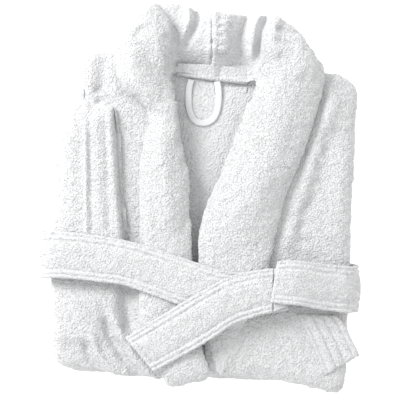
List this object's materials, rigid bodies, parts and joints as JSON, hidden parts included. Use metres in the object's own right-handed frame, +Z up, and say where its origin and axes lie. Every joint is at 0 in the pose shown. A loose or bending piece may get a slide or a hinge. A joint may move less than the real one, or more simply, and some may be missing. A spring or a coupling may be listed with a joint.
{
  "type": "bathrobe",
  "caption": "White terry bathrobe with a shawl collar and a hanger loop, folded flat and tied round with its own belt.",
  "frame": {"origin": "middle of the overall box, on the surface that the folded robe lies on", "axes": "+Y towards the collar, +X towards the right-hand side seen from above with the collar up, +Z up"},
  "size_m": [0.3702, 0.4532, 0.0907],
  "materials": {
    "robe_terry": "looped cotton terry, matt, both faces",
    "collar_terry": "looped cotton terry, matt, double ply",
    "belt_terry": "looped cotton terry, matt, turned and topstitched",
    "loop_tape": "flat woven cotton tape"
  },
  "bodies": {
    "folded_robe": {"skirt_under_fold": "robe_terry", "belt_loop_left": "belt_terry", "belt_loop_right": "belt_terry", "left_patch_pocket": "robe_terry", "right_patch_pocket": "robe_terry", "skirt_upper_fold": "robe_terry", "left_side_fold": "robe_terry", "right_sleeve": "robe_terry", "right_cuff": "robe_terry", "back_panel": "robe_terry", "left_front": "robe_terry", "right_front": "robe_terry", "left_sleeve": "robe_terry", "left_cuff": "robe_terry", "under_collar_left": "collar_terry", "collar_facing_left": "collar_terry", "under_collar_right": "collar_terry", "collar_facing_right": "collar_terry", "back_neck_facing": "robe_terry", "neck_tape": "loop_tape", "belt_back_run": "belt_terry", "belt_left_run": "belt_terry", "belt_right_run": "belt_terry", "belt_knot_turn": "belt_terry"},
    "loop": {"hanger_loop": "loop_tape"},
    "long_tail": {"belt_tail_long": "belt_terry"},
    "short_tail": {"belt_tail_short": "belt_terry"}
  },
  "joints": [
    {"name": "hanger_loop_lift", "type": "hinge", "parent": "folded_robe", "child": "loop", "pos_m": [0.0039, 0.1285, 0.0528], "axis": [-1, 0, 0], "range_deg": [0, 140]},
    {"name": "long_tail_lift", "type": "hinge", "parent": "folded_robe", "child": "long_tail", "pos_m": [0.0751, -0.1051, 0.0847], "axis": [0.0392, 0.9992, 0], "range_deg": [0, 90]},
    {"name": "short_tail_lift", "type": "hinge", "parent": "folded_robe", "child": "short_tail", "pos_m": [0.1349, -0.1327, 0.0662], "axis": [-0.9991, 0.0434, 0], "range_deg": [0, 90]}
  ]
}
